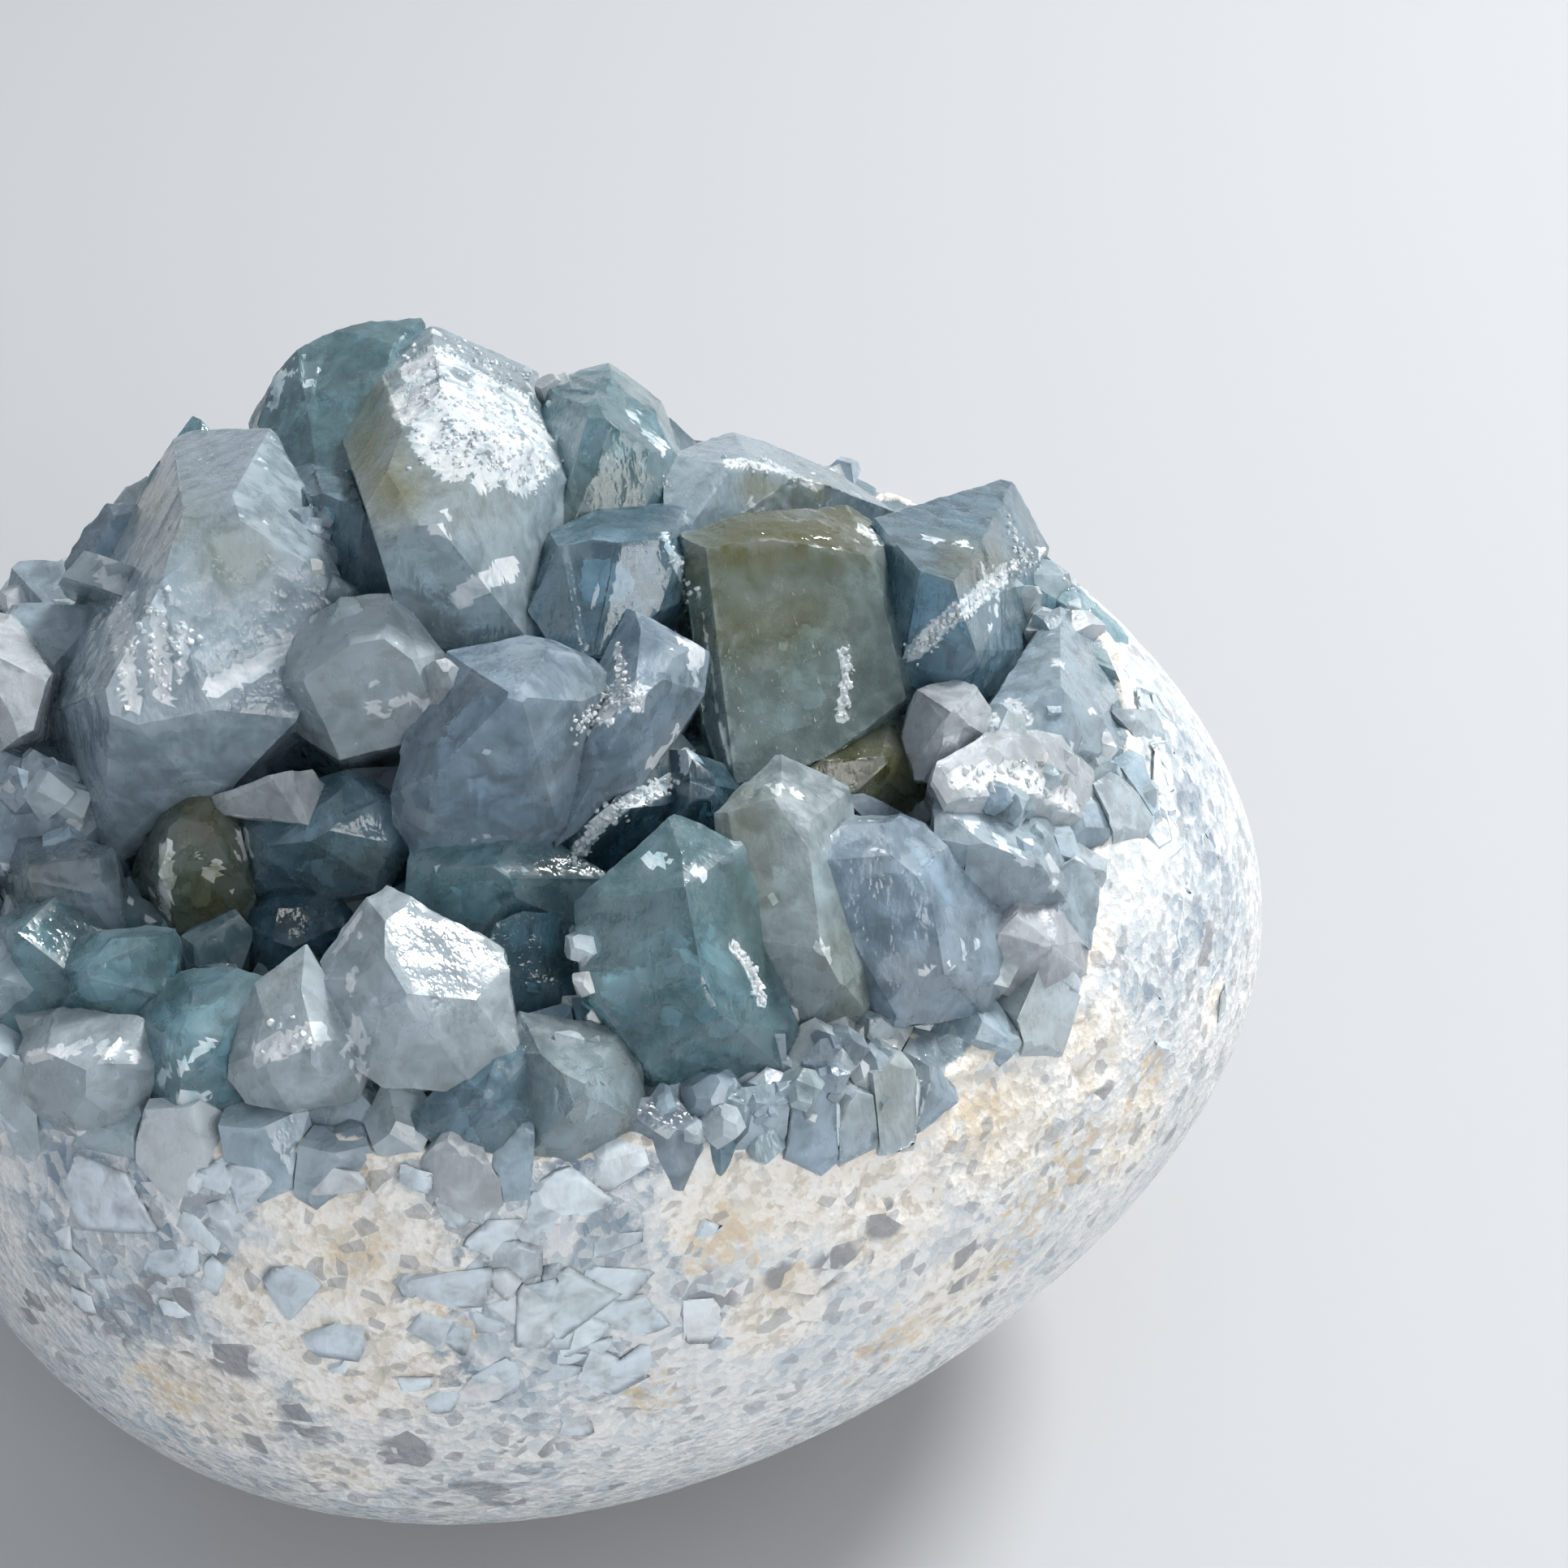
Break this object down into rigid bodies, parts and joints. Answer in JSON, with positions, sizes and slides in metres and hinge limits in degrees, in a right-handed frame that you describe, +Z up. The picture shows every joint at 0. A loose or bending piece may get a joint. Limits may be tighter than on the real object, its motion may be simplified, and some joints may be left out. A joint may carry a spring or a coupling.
{
  "type": "celestite egg",
  "caption": "Stone egg ground smooth, open on top where blocky blue-grey celestite crystals stand in a cluster, with a small flat spot under it to rest on.",
  "frame": {"origin": "middle of the flat spot ground under the egg, at the level of the table", "axes": "+Z up, +X along the egg towards its narrow end, which hangs about 8 degrees lower; the side seen in the picture faces -Y"},
  "size_m": [0.0995, 0.0815, 0.0808],
  "materials": {
    "rock": "ground smooth and polished outside, cream and white sugary grains with cut blue-grey crystals in them",
    "celestite_pale": "clear to cloudy celestite, pale sky blue, glassy faces with frosted and chipped patches",
    "celestite_lilac": "clear to cloudy celestite, blue-grey with a lilac cast, glassy faces with frosted and chipped patches",
    "celestite_olive": "clear to cloudy celestite, olive over teal, glassy faces with frosted and chipped patches",
    "celestite_milky": "clear to cloudy celestite, frosted blue-grey, glassy faces with frosted and chipped patches",
    "celestite_crust": "clear to cloudy celestite, blue-grey under a white crust, glassy faces with frosted and chipped patches",
    "celestite_teal": "clear to cloudy celestite, teal grey, glassy faces with frosted and chipped patches",
    "celestite_deep": "clear to cloudy celestite, deep blue-grey, glassy faces with frosted and chipped patches",
    "celestite_olive_pale": "clear to cloudy celestite, pale grey-green, glassy faces with frosted and chipped patches",
    "celestite_pale_teal": "clear to cloudy celestite, pale teal, glassy faces with frosted and chipped patches",
    "celestite_white": "clear to cloudy celestite, sugary white, glassy faces with frosted and chipped patches",
    "celestite_rose": "clear to cloudy celestite, greyish rose, glassy faces with frosted and chipped patches",
    "celestite_navy": "clear to cloudy celestite, dark slate blue, glassy faces with frosted and chipped patches",
    "celestite_amber": "clear to cloudy celestite, brownish olive, glassy faces with frosted and chipped patches",
    "celestite_smoky": "clear to cloudy celestite, smoky grey, glassy faces with frosted and chipped patches"
  },
  "bodies": {
    "root": {"rock_matrix": "rock", "crystal_round_front": "celestite_pale", "crystal_rhomb_left": "celestite_pale", "crystal_centre_twin": "celestite_lilac", "crystal_olive_block": "celestite_olive", "crystal_giant_left": "celestite_milky", "crystal_crown_top": "celestite_crust", "crystal_wedge_centre": "celestite_teal", "crystal_roof_back": "celestite_deep", "crystal_lilac_slab": "celestite_lilac", "crystal_striated_blue": "celestite_deep", "crystal_round_back": "celestite_teal", "crystal_pale_right": "celestite_lilac", "crystal_grey_green": "celestite_olive_pale", "crystal_upright_block": "celestite_pale_teal", "crystal_split_front": "celestite_pale", "crystal_sparkle_front": "celestite_teal", "crystal_milky_front": "celestite_pale", "crystal_blue_slab": "celestite_deep", "crystal_back_left_pale": "celestite_pale", "crystal_left_white": "celestite_white", "crystal_top_blue": "celestite_teal", "crystal_small_dark_top": "celestite_deep", "crystal_back_small": "celestite_white", "crystal_back_right_far": "celestite_milky", "crystal_sugar_right": "celestite_white", "crystal_grey_right": "celestite_milky", "crystal_lilac_right": "celestite_milky", "crystal_plate_right": "celestite_white", "crystal_rose_right": "celestite_rose", "crystal_navy_blade": "celestite_navy", "crystal_navy_corner": "celestite_navy", "crystal_olive_left": "celestite_amber", "crystal_left_dark_block": "celestite_smoky", "crystal_left_teal_block": "celestite_teal", "crystal_left_edge_pale": "celestite_milky", "crystal_valley_teal": "celestite_navy", "crystal_valley_deep": "celestite_deep", "crystal_valley_mass": "celestite_teal", "crystal_dark_wall": "celestite_navy", "crystal_rear_wide": "celestite_milky", "crystal_rear_tall": "celestite_teal", "crystal_rear_roof": "celestite_lilac", "crystal_rear_left": "celestite_pale", "crystal_rear_edge_left": "celestite_milky", "crystal_rear_edge_right": "celestite_white", "crystal_rear_corner": "celestite_deep", "crystal_rear_low": "celestite_teal", "crystal_rear_low_left": "celestite_deep", "crystal_rear_low_end": "celestite_pale", "crystal_rear_high": "celestite_milky", "crystal_rear_high_left": "celestite_lilac", "crystal_rear_high_right": "celestite_pale", "crystal_rear_rim_left": "celestite_pale", "crystal_rear_rim_end": "celestite_milky", "crystal_end_left": "celestite_lilac", "crystal_end_left_front": "celestite_teal"}
  },
  "joints": []
}
